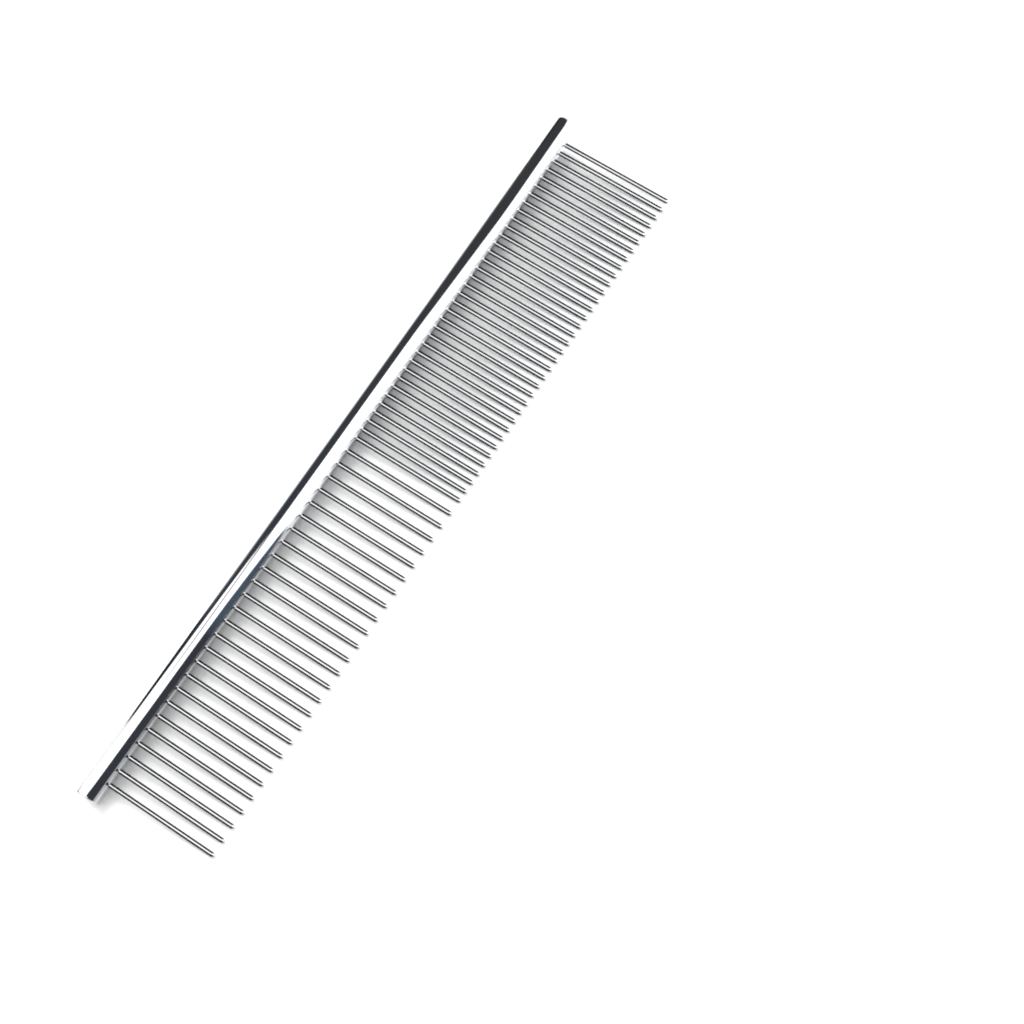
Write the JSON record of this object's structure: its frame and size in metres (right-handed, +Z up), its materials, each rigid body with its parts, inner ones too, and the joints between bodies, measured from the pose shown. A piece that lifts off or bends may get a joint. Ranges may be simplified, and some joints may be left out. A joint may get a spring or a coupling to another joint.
{
  "type": "grooming comb",
  "caption": "Straight pet grooming comb: a chromed round tube spine with end plugs and one row of round steel teeth, wide-set over one half and fine-set over the other.",
  "frame": {"origin": "middle of the comb's footprint on the table it rests on: halfway along the spine, halfway between the spine's back and the tooth tips, at table height", "axes": "+X along the spine, from the wide-set end to the fine-set end; the teeth point along -Y and slightly down, so that the spine and every tip touch z = 0; +Z up from the table"},
  "size_m": [0.19, 0.0334, 0.0052],
  "materials": {
    "spine_chrome": "mirror-polished chrome plate with faint polishing lines along the tube",
    "plug_chrome": "chrome plate over a faced plug, slightly softer than the tube",
    "tooth_steel": "bright chromed steel wire, polished along its length"
  },
  "bodies": {
    "root": {"spine_tube": "spine_chrome", "wide_end_plug": "plug_chrome", "fine_end_plug": "plug_chrome", "wide_tooth_01": "tooth_steel", "wide_tooth_02": "tooth_steel", "wide_tooth_03": "tooth_steel", "wide_tooth_04": "tooth_steel", "wide_tooth_05": "tooth_steel", "wide_tooth_06": "tooth_steel", "wide_tooth_07": "tooth_steel", "wide_tooth_08": "tooth_steel", "wide_tooth_09": "tooth_steel", "wide_tooth_10": "tooth_steel", "wide_tooth_11": "tooth_steel", "wide_tooth_12": "tooth_steel", "wide_tooth_13": "tooth_steel", "wide_tooth_14": "tooth_steel", "wide_tooth_15": "tooth_steel", "wide_tooth_16": "tooth_steel", "wide_tooth_17": "tooth_steel", "wide_tooth_18": "tooth_steel", "wide_tooth_19": "tooth_steel", "wide_tooth_20": "tooth_steel", "wide_tooth_21": "tooth_steel", "wide_tooth_22": "tooth_steel", "wide_tooth_23": "tooth_steel", "wide_tooth_24": "tooth_steel", "wide_tooth_25": "tooth_steel", "wide_tooth_26": "tooth_steel", "wide_tooth_27": "tooth_steel", "fine_teeth_01_to_05": "tooth_steel", "fine_teeth_06_to_10": "tooth_steel", "fine_teeth_11_to_15": "tooth_steel", "fine_teeth_16_to_20": "tooth_steel", "fine_teeth_21_to_25": "tooth_steel", "fine_teeth_26_to_30": "tooth_steel", "fine_teeth_31_to_35": "tooth_steel"}
  },
  "joints": []
}
